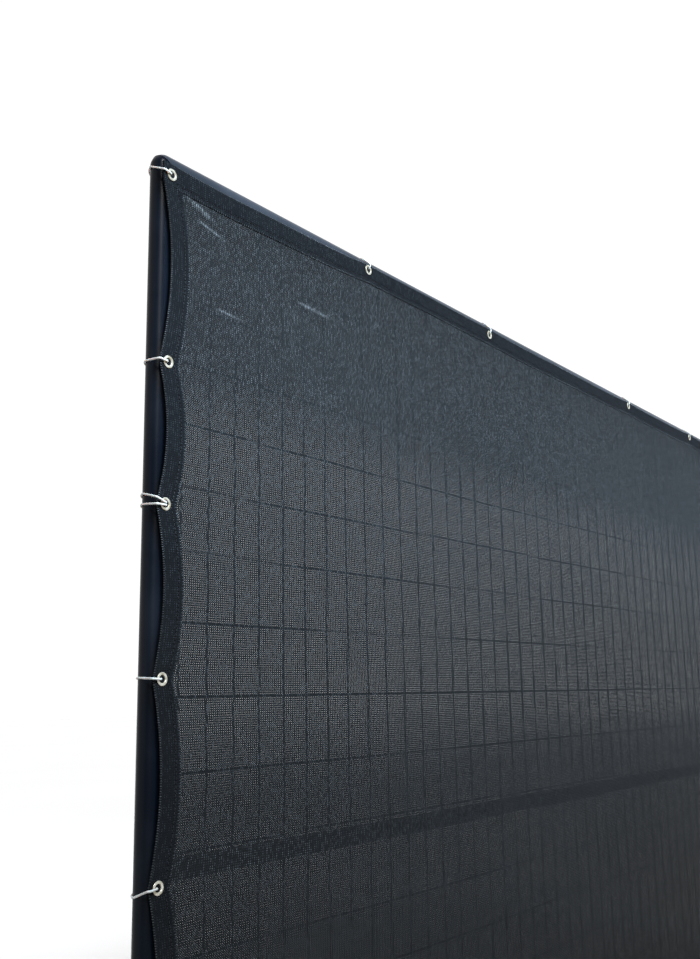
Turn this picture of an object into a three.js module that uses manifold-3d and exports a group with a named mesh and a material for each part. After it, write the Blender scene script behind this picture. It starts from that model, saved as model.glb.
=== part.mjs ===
// Privacy mesh screen tied on a plain fence bay. Millimetres, +Z up, X along the fence, Y away from the
// viewer. The screen is one knitted sheet with a folded hem, held by round eyelets and looped ties to posts
// and rails.
import * as THREE from "three";
import { mergeVertices } from "three/addons/utils/BufferGeometryUtils.js";
import Module from "manifold-3d";

const wasm = await Module();
wasm.setup();

// Frame sizes.
const BAY = 2990; // post axis to post axis
const HALF = BAY / 2;
const TOP = 1800; // top of posts and top rail
const TUBE_R = 19; // posts, top rail and bottom rail
const MID_R = 16; // middle rail
const TUBE_SIDES = 20;
const PLATE = { width: 190, thick: 10 };
const GAP = 0.3;
const NEAR = 0.01; // two places this close count as one
const MERGED = 1e-4; // points this close become one when a shape is made solid
const MITRE_GAP = GAP / Math.SQRT2; // each tube's share of the gap at a mitred corner, along its own axis
const TOP_RAIL_Z = TOP - TUBE_R;
const MID_RAIL_Z = 699;
const BOTTOM_RAIL_Z = 90;

// Wire infill.
const WIRE = 3.2;
const WIRE_PITCH = 60;
const FIRST_WIRE = 55; // from the left post axis
const WIRE_COUNT = 49;
const UPPER_ROWS = [1665, 1565, 1465, 1364, 1263, 1163, 1053, 943, 833, 723];
const LOWER_ROWS = [574, 474, 374, 274, 174];

// Cloth sizes.
const CLOTH_Y = -24.2; // middle of the sheet where it is held
const HEM_THICK = 3;
const BODY_THICK = 1.5;
const HEM_WIDTH = 39;
const HEM_STEP = 2; // the hem's inner edge falls to the single layer over this width
const MARGIN = 18; // eyelet centre to the cloth's edge, at the sides and the bottom
const SPREAD = 320; // how far into the cloth an edge's pull is felt
const CLOTH = { left: -HALF - 20, right: HALF + 20, bottom: 87, top: 1782 };
const LOW_PUFF = 0.8; // the bottom edge stands forward by this share of the top edge's puff
// Broad waves of the cloth's middle: how deep, how long, how each leans and where it starts.
const WAVES = [
  { deep: 5, long: 1180, alongX: 1, alongZ: 0.55, start: 0.6 },
  { deep: 3, long: 790, alongX: -0.3, alongZ: 1, start: 1.9 },
];
const WAVE_SHIFT = -4; // the waves' middle stands this far off the held edges
const CALM = { from: 60, over: 340 }; // the waves rise from nothing over this distance from an edge

// Eyelets and ties.
const EYELET = { hole: 5.6, barrel: 6.1, clothHole: 6.6, front: 10, back: 8.6, crown: 7.8, sides: 12 };
const RIM = { ahead: 0.4, behind: 0.3, bulge: 1, lip: 0.5, washer: 0.6 }; // off the cloth, and its rounding
const STRAP = { width: 3.6, thick: 1.4, clear: 0.35, overEdge: 2.4, ahead: 2.1 };
const LEAD_CLIMB = 0.7; // just before the cloth's edge a strap has climbed this share of its front climb
const BORE_LENGTH = 40; // long enough to pass right through the cloth
const LOCK = { half: 2.6, near: 1.3, far: 5.8 }; // the strap's lock behind the tube, from the tube's face
const TIE_STEPS = 12; // stations round a whole tube
// Where a strap passes through its hole: out from the hole's centre, and back from the cloth's middle.
const IN_HOLE = [
  { out: 1.2, back: 2 },
  { out: 3.3, back: -2.4 },
];
const PAST_RIM = 5.6; // the strap has come out over the rim this far from the hole's centre
const CROWDED = 2.7; // two straps side by side run this much nearer the hole's centre
const BEFORE_EDGE = 2; // it leaves the cloth's face this far before the edge
const SEAT = 0.5; // it passes the tube's near side this far off
const SHARPEST = 0.6; // a strap's corner is stretched no further than by this cosine

// Eyelets along the top and bottom edges, from the left post axis. topZ and bottomZ are eyelet centres, and
// above is how far the top edge stands over the eyelet's centre. dip and lift are how far the edges sag
// between this eyelet and the next; puff is how far they stand forward. drift is how far a tie runs along
// its rail.
const ALONG = [
  { x: 0, topZ: 1757, above: 19, bottomZ: 106, dip: 10, lift: 9, puff: 7, drift: 0 },
  { x: 527, topZ: 1770, above: 12, bottomZ: 103, dip: 3, lift: 11, puff: 4, drift: 4 },
  { x: 1009, topZ: 1766, above: 15, bottomZ: 104, dip: 9, lift: 14, puff: 8, drift: 3 },
  { x: 1837, topZ: 1770, above: 12, bottomZ: 102, dip: 7, lift: 8, puff: 5, drift: 3 },
  { x: 2357, topZ: 1771, above: 12, bottomZ: 105, dip: 9, lift: 10, puff: 6, drift: -2 },
  { x: 2990, topZ: 1764, above: 18, bottomZ: 106, dip: 0, lift: 0, puff: 0, drift: 0 },
];

// Eyelets down the left and right edges. scoopLeft and scoopRight are how far the edge draws in before the
// next eyelet up. front, side and back are how far each tie climbs at the cloth's edge, at the post's outer
// side and at its inner side.
const DOWN = [
  { z: 106, scoopLeft: 18, scoopRight: 17, puff: 1, front: 3, side: 6, back: 8 },
  { z: 397, scoopLeft: 19, scoopRight: 18, puff: 1, front: 2, side: 1, back: -2 },
  { z: 685, scoopLeft: 18, scoopRight: 20, puff: 1, front: -2, side: -12.5, back: -7 },
  { z: 969, scoopLeft: 17, scoopRight: 16, puff: 1, front: 0.9, side: 2.4, back: 0 },
  { z: 1225, scoopLeft: 17, scoopRight: 18, puff: 1, front: 6.6, side: 14.6, back: 6 },
  { z: 1446, scoopLeft: 20, scoopRight: 19, puff: 1, front: 1.2, side: 4, back: 1 },
  { z: 1757, scoopLeft: 0, scoopRight: 0, puff: 0, front: 2.8, side: 16.7, back: 1 },
];
const DOUBLE_TIE = "left_5"; // the eyelet held by two ties
const SECOND_TIE = { front: 0, side: 3, back: -2 };
const PAIR_OFFSET = 2.1; // the two straps lie side by side in the hole

// Materials.
const tube = new THREE.MeshStandardMaterial({ color: 0x23282f, roughness: 0.45, metalness: 0.3 });
const wire = new THREE.MeshStandardMaterial({ color: 0x1c2025, roughness: 0.5, metalness: 0.3 });
const mesh = new THREE.MeshStandardMaterial({ color: 0x2b3036, roughness: 0.9 });
const metal = new THREE.MeshStandardMaterial({ color: 0xd9d6c8, roughness: 0.3, metalness: 0.9 });
const nylon = new THREE.MeshStandardMaterial({ color: 0xc9cdd2, roughness: 0.5 });

const screen = new THREE.Group();
function add(name, geometry, material) {
  const piece = new THREE.Mesh(geometry, material);
  piece.name = name;
  screen.add(piece);
}

// Solids.
function solidOf(points, triangles) {
  return new wasm.Manifold(
    new wasm.Mesh({
      numProp: 3,
      vertProperties: new Float32Array(points.flat()),
      triVerts: new Uint32Array(triangles.flat()),
    }),
  );
}
function geometryFrom(solid) {
  const m = solid.getMesh();
  const g = new THREE.BufferGeometry();
  g.setAttribute("position", new THREE.BufferAttribute(new Float32Array(m.vertProperties), 3));
  g.setIndex(new THREE.BufferAttribute(new Uint32Array(m.triVerts), 1));
  return g;
}
function solidFrom(geometry) {
  const bare = geometry.clone();
  bare.deleteAttribute("normal");
  bare.deleteAttribute("uv");
  const merged = mergeVertices(bare, MERGED);
  const vertProperties = merged.attributes.position.array;
  const triVerts = new Uint32Array(merged.index.array);
  return new wasm.Manifold(new wasm.Mesh({ numProp: 3, vertProperties, triVerts }));
}
function box(x0, x1, y0, y1, z0, z1) {
  const g = new THREE.BoxGeometry(x1 - x0, y1 - y0, z1 - z0);
  g.translate((x0 + x1) / 2, (y0 + y1) / 2, (z0 + z1) / 2);
  return solidFrom(g);
}
const joined = (solids) => solids.reduce((whole, next) => whole.add(next));
function upright(r, z0, z1, x) {
  const g = new THREE.CylinderGeometry(r, r, z1 - z0, TUBE_SIDES);
  g.rotateX(Math.PI / 2);
  g.translate(x, 0, (z0 + z1) / 2);
  return g;
}
function lying(r, z) {
  const g = new THREE.CylinderGeometry(r, r, BAY, TUBE_SIDES);
  g.rotateZ(Math.PI / 2);
  g.translate(0, 0, z);
  return g;
}
// A rail between the posts, its ends hollowed to fit round them.
function coped(r, z) {
  let rail = solidFrom(lying(r, z));
  for (const x of [-HALF, HALF]) {
    rail = rail.subtract(solidFrom(upright(TUBE_R + GAP, z - TUBE_R, z + TUBE_R, x)));
  }
  return geometryFrom(rail);
}
// The points of a tube's flat end move along the tube to the slanting plane of a mitred corner.
function mitred(geometry, axis, end, place) {
  const points = geometry.getAttribute("position");
  for (let k = 0; k < points.count; k++) {
    const p = [points.getX(k), points.getY(k), points.getZ(k)];
    if (Math.abs(p[axis] - end) < NEAR) points.setComponent(k, axis, place(p));
  }
  return geometry;
}

// Frame. Posts and top rail meet in mitred corners; the other rails butt against the posts.
const X = 0;
const Z = 2;
for (const [side, out] of [["left", -1], ["right", 1]]) {
  const x = out * HALF;
  const post = upright(TUBE_R, PLATE.thick + GAP, TOP, x);
  add("post_" + side, mitred(post, Z, TOP, (p) => TOP_RAIL_Z + out * (p[X] - x) - MITRE_GAP), tube);
  const plate = new THREE.BoxGeometry(PLATE.width, PLATE.width, PLATE.thick);
  plate.translate(x, 0, PLATE.thick / 2);
  add("base_plate_" + side, plate, tube);
}
let topRail = lying(TUBE_R, TOP_RAIL_Z);
for (const out of [-1, 1]) {
  topRail = mitred(topRail, X, out * HALF, (p) => out * (HALF + p[Z] - TOP_RAIL_Z - MITRE_GAP));
}
add("rail_top", topRail, tube);
add("rail_middle", coped(MID_R, MID_RAIL_Z), tube);
add("rail_bottom", coped(TUBE_R, BOTTOM_RAIL_Z), tube);

// Upright wires lie behind, cross wires in front. One cross wire binds the uprights of a panel into one
// piece, and the first and last uprights bind its cross wires.
function wires(panel, z0, z1, rows) {
  const first = -HALF + FIRST_WIRE;
  const last = first + WIRE_PITCH * (WIRE_COUNT - 1);
  const reach = HALF - TUBE_R - GAP;
  const behind = [GAP / 2, GAP / 2 + WIRE];
  const ahead = [-GAP / 2 - WIRE, -GAP / 2];
  const across = (z, [y0, y1], a, b) => box(a, b, y0, y1, z - WIRE / 2, z + WIRE / 2);
  const up = (x, [y0, y1], a, b) => box(x - WIRE / 2, x + WIRE / 2, y0, y1, a, b);
  const uprights = [across(rows[0], behind, first, last)];
  for (let k = 0; k < WIRE_COUNT; k++) uprights.push(up(first + k * WIRE_PITCH, behind, z0, z1));
  const cross = rows.map((z) => across(z, ahead, -reach, reach));
  const low = Math.min(...rows);
  const high = Math.max(...rows);
  cross.push(up(first, ahead, low, high), up(last, ahead, low, high));
  add("wires_upright_" + panel, geometryFrom(joined(uprights)), wire);
  add("wires_cross_" + panel, geometryFrom(joined(cross)), wire);
}
wires("upper", MID_RAIL_Z + MID_R + GAP, TOP_RAIL_Z - TUBE_R - GAP, UPPER_ROWS);
wires("lower", BOTTOM_RAIL_Z + TUBE_R + GAP, MID_RAIL_Z - MID_R - GAP, LOWER_ROWS);

// The sheet's shape.
// The span of a table that holds a place, and how far along it the place lies.
function spanOf(table, key, value) {
  let k = 0;
  while (k < table.length - 2 && value > table[k + 1][key]) k++;
  const a = table[k];
  const b = table[k + 1];
  const s = Math.min(Math.max((value - a[key]) / (b[key] - a[key]), 0), 1);
  return { a, b, s };
}
const bow = (s) => 4 * s * (1 - s);
const swell = (s) => Math.sin(Math.PI * s) ** 2;
const fade = (d) => Math.max(0, 1 - Math.max(0, d - HEM_WIDTH) / SPREAD) ** 2;

// How far the broad waves bring a place of the cloth's middle forward or back.
function waved(x, z, inset) {
  const share = Math.min(1, Math.max(0, (inset - CALM.from) / CALM.over));
  let y = WAVE_SHIFT;
  for (const { deep, long, alongX, alongZ, start } of WAVES) {
    y += deep * Math.sin((2 * Math.PI * (alongX * x + alongZ * z)) / long + start);
  }
  return y * share * share * (3 - 2 * share);
}

// A place on the flat sheet goes to its place on the hung one: x and z by the pull of the eyelets on the
// edges, y by the puffs between eyelets and the broad waves of the middle.
function hung(x, z) {
  const along = spanOf(ALONG, "x", x + HALF);
  const down = spanOf(DOWN, "z", z);
  const fromLeft = x - CLOTH.left;
  const fromRight = CLOTH.right - x;
  const fromBottom = z - CLOTH.bottom;
  const fromTop = CLOTH.top - z;
  const between = (p, q, s) => p + (q - p) * s;
  const { a, b, s } = along;
  const scoopLeft = down.a.scoopLeft * bow(down.s);
  const scoopRight = down.a.scoopRight * bow(down.s);
  const edgeTop = between(a.topZ + a.above, b.topZ + b.above, s) - a.dip * bow(s);
  const edgeLow = between(a.bottomZ, b.bottomZ, s) - MARGIN + a.lift * bow(s);
  const dx = scoopLeft * fade(fromLeft) - scoopRight * fade(fromRight);
  const dz = (edgeTop - CLOTH.top) * fade(fromTop) + (edgeLow - CLOTH.bottom) * fade(fromBottom);
  const nearTop = a.puff * swell(s) * (fade(fromTop) + LOW_PUFF * fade(fromBottom));
  const nearSide = down.a.puff * swell(down.s) * (fade(fromLeft) + fade(fromRight));
  const wave = waved(x, z, Math.min(fromLeft, fromRight, fromTop, fromBottom));
  return [x + dx, CLOTH_Y - nearTop - nearSide + wave, z + dz];
}

// Lines of the sheet's grid: the edge, the hem's two inner lines, and a few places in every span.
function lines(table, key, shift, low, high, shares) {
  const inner = HEM_WIDTH + HEM_STEP;
  const kept = [low, low + HEM_WIDTH, low + inner, high - inner, high - HEM_WIDTH, high];
  const clear = 12;
  for (let k = 0; k + 1 < table.length; k++)
    for (const s of shares) {
      const at = table[k][key] + (table[k + 1][key] - table[k][key]) * s + shift;
      const corner = k === 0 && s === 0;
      if (corner || kept.every((v) => Math.abs(v - at) > clear)) kept.push(at);
    }
  kept.push(table[table.length - 1][key] + shift);
  return kept.sort((p, q) => p - q);
}

function sheet() {
  const xs = lines(ALONG, "x", -HALF, CLOTH.left, CLOTH.right, [0, 0.14, 0.36, 0.64, 0.86]);
  const zs = lines(DOWN, "z", 0, CLOTH.bottom, CLOTH.top, [0, 0.17, 0.5, 0.83]);
  const nx = xs.length;
  const nz = zs.length;
  const points = [];
  for (const side of [-1, 1])
    for (const z of zs)
      for (const x of xs) {
        const inset = Math.min(x - CLOTH.left, CLOTH.right - x, z - CLOTH.bottom, CLOTH.top - z);
        const thick = inset <= HEM_WIDTH + NEAR ? HEM_THICK : BODY_THICK;
        const [px, py, pz] = hung(x, z);
        points.push([px, py + (side * thick) / 2, pz]);
      }
  const at = (side, i, j) => side * nx * nz + j * nx + i;
  const triangles = [];
  const quad = (a, b, c, d) => triangles.push([a, b, c], [a, c, d]);
  for (let j = 0; j + 1 < nz; j++)
    for (let i = 0; i + 1 < nx; i++) {
      quad(at(0, i, j), at(0, i + 1, j), at(0, i + 1, j + 1), at(0, i, j + 1));
      quad(at(1, i, j), at(1, i, j + 1), at(1, i + 1, j + 1), at(1, i + 1, j));
    }
  for (let i = 0; i + 1 < nx; i++) {
    quad(at(0, i, 0), at(1, i, 0), at(1, i + 1, 0), at(0, i + 1, 0));
    quad(at(0, i, nz - 1), at(0, i + 1, nz - 1), at(1, i + 1, nz - 1), at(1, i, nz - 1));
  }
  for (let j = 0; j + 1 < nz; j++) {
    quad(at(0, 0, j), at(0, 0, j + 1), at(1, 0, j + 1), at(1, 0, j));
    quad(at(0, nx - 1, j), at(1, nx - 1, j), at(1, nx - 1, j + 1), at(0, nx - 1, j + 1));
  }
  return solidOf(points, triangles);
}

// Eyelets and ties.
// Each place: the eyelet's name, its centre, its margin to the cloth's edge, which way its tie runs (out),
// the tube's axis, and the tie's rises.
const places = [];
ALONG.slice(1, -1).forEach((e, k) => {
  const x = e.x - HALF;
  const tie = { x, front: e.drift, side: e.drift / 2, back: 0 };
  const top = { z: e.topZ, margin: e.above, out: "up", axis: TOP_RAIL_Z };
  const low = { z: e.bottomZ, margin: MARGIN, out: "low", axis: BOTTOM_RAIL_Z };
  places.push({ name: "top_" + (k + 1), ...top, ...tie });
  places.push({ name: "bottom_" + (k + 1), ...low, ...tie });
});
DOWN.forEach((e, k) => {
  const tie = { z: e.z, margin: MARGIN, front: e.front, side: e.side, back: e.back };
  places.push({ name: "left_" + (k + 1), x: CLOTH.left + MARGIN, out: "left", axis: -HALF, ...tie });
  places.push({ name: "right_" + (k + 1), x: CLOTH.right - MARGIN, out: "right", axis: HALF, ...tie });
});

function eyelet(x, z) {
  const front = CLOTH_Y - HEM_THICK / 2 - RIM.ahead;
  const back = CLOTH_Y + HEM_THICK / 2 + RIM.behind;
  const profile = [
    [EYELET.hole, front - RIM.lip],
    [EYELET.crown, front - RIM.bulge],
    [EYELET.front, front],
    [EYELET.barrel, front],
    [EYELET.barrel, back],
    [EYELET.back, back],
    [EYELET.back, back + RIM.washer],
    [EYELET.hole, back + RIM.washer],
  ];
  const closed = [...profile, profile[0]].map(([r, y]) => new THREE.Vector2(r, y));
  const g = new THREE.LatheGeometry(closed, EYELET.sides);
  g.translate(x, 0, z);
  return g;
}

const STRAP_R = TUBE_R + STRAP.clear + STRAP.thick / 2; // from the tube's axis to the middle of the strap

// The strap's run in the plane square to its tube: u points out past the cloth's edge, v is depth. It
// passes through the hole, over the cloth's edge, round the tube and back to the hole from behind.
function run(holeU, margin, inward) {
  const step = (2 * Math.PI) / TIE_STEPS;
  const wide = STRAP_R / Math.cos(step / 2);
  const edge = holeU + margin;
  const face = CLOTH_Y - HEM_THICK / 2;
  const front = face - STRAP.ahead - STRAP.thick / 2;
  const near = [holeU - STRAP.overEdge, -STRAP_R - SEAT];
  const over = [edge + STRAP.overEdge, face];
  const ring = [near, over];
  for (let k = 0; k < TIE_STEPS; k++) {
    const p = [wide * Math.cos(k * step), wide * Math.sin(k * step)];
    if (p[1] > -TUBE_R) ring.push(p);
  }
  const hull = convex(ring);
  const from = hull.indexOf(over);
  const round = hull.slice(from).concat(hull.slice(0, from));
  const inHole = IN_HOLE.map(({ out, back }) => [holeU + out - inward, CLOTH_Y + back]);
  return [...inHole, [holeU + PAST_RIM - inward, front], [edge - BEFORE_EDGE, front], ...round];
}
// Points of a convex outline, anticlockwise.
function convex(points) {
  const sorted = [...points].sort((p, q) => p[0] - q[0] || p[1] - q[1]);
  const turn = (o, a, b) => (a[0] - o[0]) * (b[1] - o[1]) - (a[1] - o[1]) * (b[0] - o[0]);
  const half = (list) => {
    const chain = [];
    for (const p of list) {
      while (chain.length > 1 && turn(chain.at(-2), chain.at(-1), p) <= 0) chain.pop();
      chain.push(p);
    }
    return chain.slice(0, -1);
  };
  return [...half(sorted), ...half(sorted.reverse())];
}

// A closed strap: four corners at every station of the run. It climbs along the tube by front at the
// cloth's edge, then from side to back across the tube, and comes back to the hole.
const EDGE_STATION = 4; // the first three stations lie in the hole, the next leads to the cloth's edge
function climb(k, last, u, { front, side, back }) {
  if (k < EDGE_STATION - 1 || k === last) return 0;
  if (k <= EDGE_STATION) return k === EDGE_STATION ? front : front * LEAD_CLIMB;
  return back + ((side - back) * (u / STRAP_R + 1)) / 2;
}
function tie(place, offset, rise, inward) {
  const sign = { left: -1, right: 1, up: 1, low: -1 }[place.out];
  const holeAt = place.out === "left" || place.out === "right" ? place.x : place.z;
  const path = run(sign * (holeAt - place.axis), place.margin, inward);
  const n = path.length;
  const points = [];
  path.forEach((p, k) => {
    const a = path[(k + n - 1) % n];
    const b = path[(k + 1) % n];
    const d1 = new THREE.Vector2(p[0] - a[0], p[1] - a[1]).normalize();
    const d2 = new THREE.Vector2(b[0] - p[0], b[1] - p[1]).normalize();
    const mid = d1.clone().add(d2).normalize();
    const stretch = STRAP.thick / 2 / Math.max(SHARPEST, mid.dot(d1));
    const normal = [mid.y * stretch, -mid.x * stretch];
    const lean = climb(k, n - 1, p[0], rise);
    for (const [sn, sw] of [[1, -1], [1, 1], [-1, 1], [-1, -1]]) {
      const u = p[0] + sn * normal[0];
      const v = p[1] + sn * normal[1];
      const w = offset + lean + (sw * STRAP.width) / 2;
      points.push(placed(place, sign * u, v, w));
    }
  });
  const triangles = [];
  for (let k = 0; k < n; k++) {
    const m = (k + 1) % n;
    for (let c = 0; c < 4; c++) {
      const d = (c + 1) % 4;
      triangles.push([4 * k + c, 4 * m + c, 4 * m + d], [4 * k + c, 4 * m + d, 4 * k + d]);
    }
  }
  let strap = solidOf(points, triangles);
  if (strap.volume() < 0) strap = solidOf(points, triangles.map(([a, b, c]) => [a, c, b]));
  const [x, , z] = placed(place, 0, 0, offset + (rise.side + rise.back) / 2);
  const { half, near, far } = LOCK;
  return strap.add(box(x - half, x + half, TUBE_R + near, TUBE_R + far, z - half, z + half));
}
function placed(place, u, v, w) {
  const sideways = place.out === "left" || place.out === "right";
  return sideways ? [place.axis + u, v, place.z + w] : [place.x + w, v, place.axis + u];
}

let cloth = sheet();
for (const place of places) {
  const bore = new THREE.CylinderGeometry(EYELET.clothHole, EYELET.clothHole, BORE_LENGTH, EYELET.sides);
  bore.translate(place.x, CLOTH_Y, place.z);
  cloth = cloth.subtract(solidFrom(bore));
  add("eyelet_" + place.name, eyelet(place.x, place.z), metal);
  const name = "tie_" + place.name;
  if (place.name === DOUBLE_TIE) {
    add(name, geometryFrom(tie(place, PAIR_OFFSET, place, CROWDED)), nylon);
    add(name + "_b", geometryFrom(tie(place, -PAIR_OFFSET, SECOND_TIE, CROWDED)), nylon);
  } else {
    add(name, geometryFrom(tie(place, 0, place, 0)), nylon);
  }
}
add("mesh_sheet", geometryFrom(cloth), mesh);

export default screen;
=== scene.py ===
"""Looks of the privacy mesh screen on its fence frame: knitted cloth with a folded hem, metal eyelets,
nylon ties, powder-coated tubes and round wire infill. Sizes are in millimetres here and go to metres where
a mesh is made."""

import math

import bmesh
import bpy
from mathutils import Matrix, Vector


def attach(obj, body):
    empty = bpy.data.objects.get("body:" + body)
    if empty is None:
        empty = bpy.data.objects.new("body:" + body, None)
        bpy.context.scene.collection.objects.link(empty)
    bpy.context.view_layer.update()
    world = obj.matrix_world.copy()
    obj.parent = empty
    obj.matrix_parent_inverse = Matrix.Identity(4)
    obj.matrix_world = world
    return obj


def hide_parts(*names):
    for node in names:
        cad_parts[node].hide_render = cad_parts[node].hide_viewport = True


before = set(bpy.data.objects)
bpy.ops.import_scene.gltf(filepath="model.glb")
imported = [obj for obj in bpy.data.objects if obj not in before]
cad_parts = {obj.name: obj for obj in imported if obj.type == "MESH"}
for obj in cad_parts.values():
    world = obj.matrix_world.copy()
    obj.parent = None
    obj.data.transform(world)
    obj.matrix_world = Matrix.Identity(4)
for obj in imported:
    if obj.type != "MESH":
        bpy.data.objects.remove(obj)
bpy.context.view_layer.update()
MM = 0.001
PHOTO_HEIGHT = 959

# Frame sizes, as in the CAD.
BAY = 2990
HALF = BAY / 2
TOP = 1800
TUBE_R = 19
MID_R = 16
TOP_RAIL_Z = TOP - TUBE_R
MID_RAIL_Z = 699
BOTTOM_RAIL_Z = 90
PLATE_WIDTH = 190
PLATE_THICK = 10
WIRE_R = 1.65
WIRE_PITCH = 60
FIRST_WIRE = 55
WIRE_COUNT = 49
UPPER_ROWS = [1665, 1565, 1465, 1364, 1263, 1163, 1053, 943, 833, 723]
LOWER_ROWS = [574, 474, 374, 274, 174]

# Cloth sizes, as in the CAD.
CLOTH_Y = -24.2
HEM_THICK = 3
HEM_WIDTH = 39
MARGIN = 18
SPREAD = 320
LEFT = -HALF - 20
RIGHT = HALF + 20
BOTTOM = 87
TOP_EDGE = 1782
LOW_PUFF = 0.8  # the bottom edge stands forward by this share of the top edge's puff
# Broad waves of the cloth's middle: how deep, how long, how each leans and where it starts.
WAVES = [
    dict(deep=5, long=1180, along_x=1, along_z=0.55, start=0.6),
    dict(deep=3, long=790, along_x=-0.3, along_z=1, start=1.9),
]
WAVE_SHIFT = -4  # the waves' middle stands this far off the held edges
CALM_FROM = 60  # the waves rise from nothing over CALM_OVER, starting this far from an edge
CALM_OVER = 340

# Eyelets along the top and bottom edges, from the left post's axis: x, their heights, how far the top edge
# stands above the eyelet, how far the top edge dips and the bottom edge lifts on the way to the next one,
# and how far the cloth puffs forward there. drift leans the tie sideways.
ALONG = [
    dict(x=0, topZ=1757, above=19, bottomZ=106, dip=10, lift=9, puff=7, drift=0),
    dict(x=527, topZ=1770, above=12, bottomZ=103, dip=3, lift=11, puff=4, drift=4),
    dict(x=1009, topZ=1766, above=15, bottomZ=104, dip=9, lift=14, puff=8, drift=3),
    dict(x=1837, topZ=1770, above=12, bottomZ=102, dip=7, lift=8, puff=5, drift=3),
    dict(x=2357, topZ=1771, above=12, bottomZ=105, dip=9, lift=10, puff=6, drift=-2),
    dict(x=2990, topZ=1764, above=18, bottomZ=106, dip=0, lift=0, puff=0, drift=0),
]
# Eyelets up the side edges: height, how far each edge draws in to the next one, the puff, and how far the
# tie climbs at the cloth's edge, at the post's outer side and at its inner side.
DOWN = [
    dict(z=106, scoopLeft=18, scoopRight=17, puff=1, front=3, side=6, back=8),
    dict(z=397, scoopLeft=19, scoopRight=18, puff=1, front=2, side=1, back=-2),
    dict(z=685, scoopLeft=18, scoopRight=20, puff=1, front=-2, side=-12.5, back=-7),
    dict(z=969, scoopLeft=17, scoopRight=16, puff=1, front=0.9, side=2.4, back=0),
    dict(z=1225, scoopLeft=17, scoopRight=18, puff=1, front=6.6, side=14.6, back=6),
    dict(z=1446, scoopLeft=20, scoopRight=19, puff=1, front=1.2, side=4, back=1),
    dict(z=1757, scoopLeft=0, scoopRight=0, puff=0, front=2.8, side=16.7, back=1),
]
# One eyelet holds two ties, each PAIR_OFFSET to one side of its middle. SECOND_TIE is how far the second
# one climbs.
DOUBLE_TIE = "left_5"
SECOND_TIE = dict(front=0, side=3, back=-2)
PAIR_OFFSET = 2.1

# An eyelet's radii, and how far its rim stands ahead of the hem and its washer behind it.
EYELET = dict(hole=5.6, barrel=6.1, front=10.0, back=8.6, ahead=0.4, behind=0.3)
EYELET_SIDES = 40
STRAP = dict(thick=1.4, clear=0.35, over_edge=2.4, ahead=2.1)
LOCK = dict(half=2.6, near=1.3, far=5.8)
LOCK_SIDES = 16
LOCK_SQUARE = 0.35  # the smaller, the squarer the lock's outline
STRAP_R = TUBE_R + STRAP["clear"] + STRAP["thick"] / 2
# Where a strap passes through its hole: out from the hole's centre, and back from the cloth's middle.
IN_HOLE = [dict(out=1.2, back=2), dict(out=3.3, back=-2.4)]
PAST_RIM = 5.6  # the strap has come out over the rim this far from the hole's centre
CROWDED = 2.7  # two straps side by side run this much nearer the hole's centre
BEFORE_EDGE = 2  # a strap leaves the cloth's face this far before the edge
SEAT = 0.5  # it passes the tube's near side this far off
RING_STEPS = 36  # points round the tube that the strap may lie on
RING_OUT = 0.1  # they stand this far off the strap's tightest run
EDGE_STATION = 3  # the station of a strap's run just before the cloth's edge
LEAD_CLIMB = 0.7  # how much of its climb at the edge the strap has made there


def mesh_piece(name, points, faces, material, smooth=True, uvs=None, seams=None):
    """A mesh object from points in millimetres; uvs and seams each give one pair of numbers a point."""
    data = bpy.data.meshes.new(name)
    data.from_pydata([[c * MM for c in p] for p in points], [], faces)
    for label, pairs in (("flat", uvs), ("seam", seams)):
        if pairs is not None:
            layer = data.uv_layers.new(name=label)
            for loop in data.loops:
                layer.data[loop.index].uv = pairs[loop.vertex_index]
    data.validate()
    data.update()
    for polygon in data.polygons:
        polygon.use_smooth = smooth
    piece = bpy.data.objects.new(name, data)
    bpy.context.scene.collection.objects.link(piece)
    data.materials.append(material)
    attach(piece, "root")
    return piece


class Parts:
    """Points and faces gathered for one mesh."""

    def __init__(self):
        self.points = []
        self.faces = []
        self.uvs = []

    def grid(self, rows, uvs=None, close_u=False, close_v=False):
        """A quad grid over rows of points, joined round in either direction on request."""
        base = len(self.points)
        n = len(rows[0])
        for row in rows:
            self.points += row
        if uvs is not None:
            for row in uvs:
                self.uvs += row
        m = len(rows)
        for j in range(m if close_v else m - 1):
            for i in range(n if close_u else n - 1):
                a = base + j * n + i
                b = base + j * n + (i + 1) % n
                c = base + (j + 1) % m * n + (i + 1) % n
                d = base + (j + 1) % m * n + i
                self.faces.append((a, b, c, d))

    def cap(self, count, start, flip=False):
        """One polygon over count points from start."""
        ring = list(range(start, start + count))
        self.faces.append(tuple(reversed(ring)) if flip else tuple(ring))


# Materials.
def shader(name, base, roughness, metallic=0.0, specular=0.5):
    """A new material with its node tree and its shader."""
    material = bpy.data.materials.new(name)
    material.use_nodes = True
    bsdf = material.node_tree.nodes["Principled BSDF"]
    bsdf.inputs["Base Color"].default_value = (*base, 1)
    bsdf.inputs["Roughness"].default_value = roughness
    bsdf.inputs["Metallic"].default_value = metallic
    bsdf.inputs["Specular IOR Level"].default_value = specular
    return material, material.node_tree, bsdf


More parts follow.
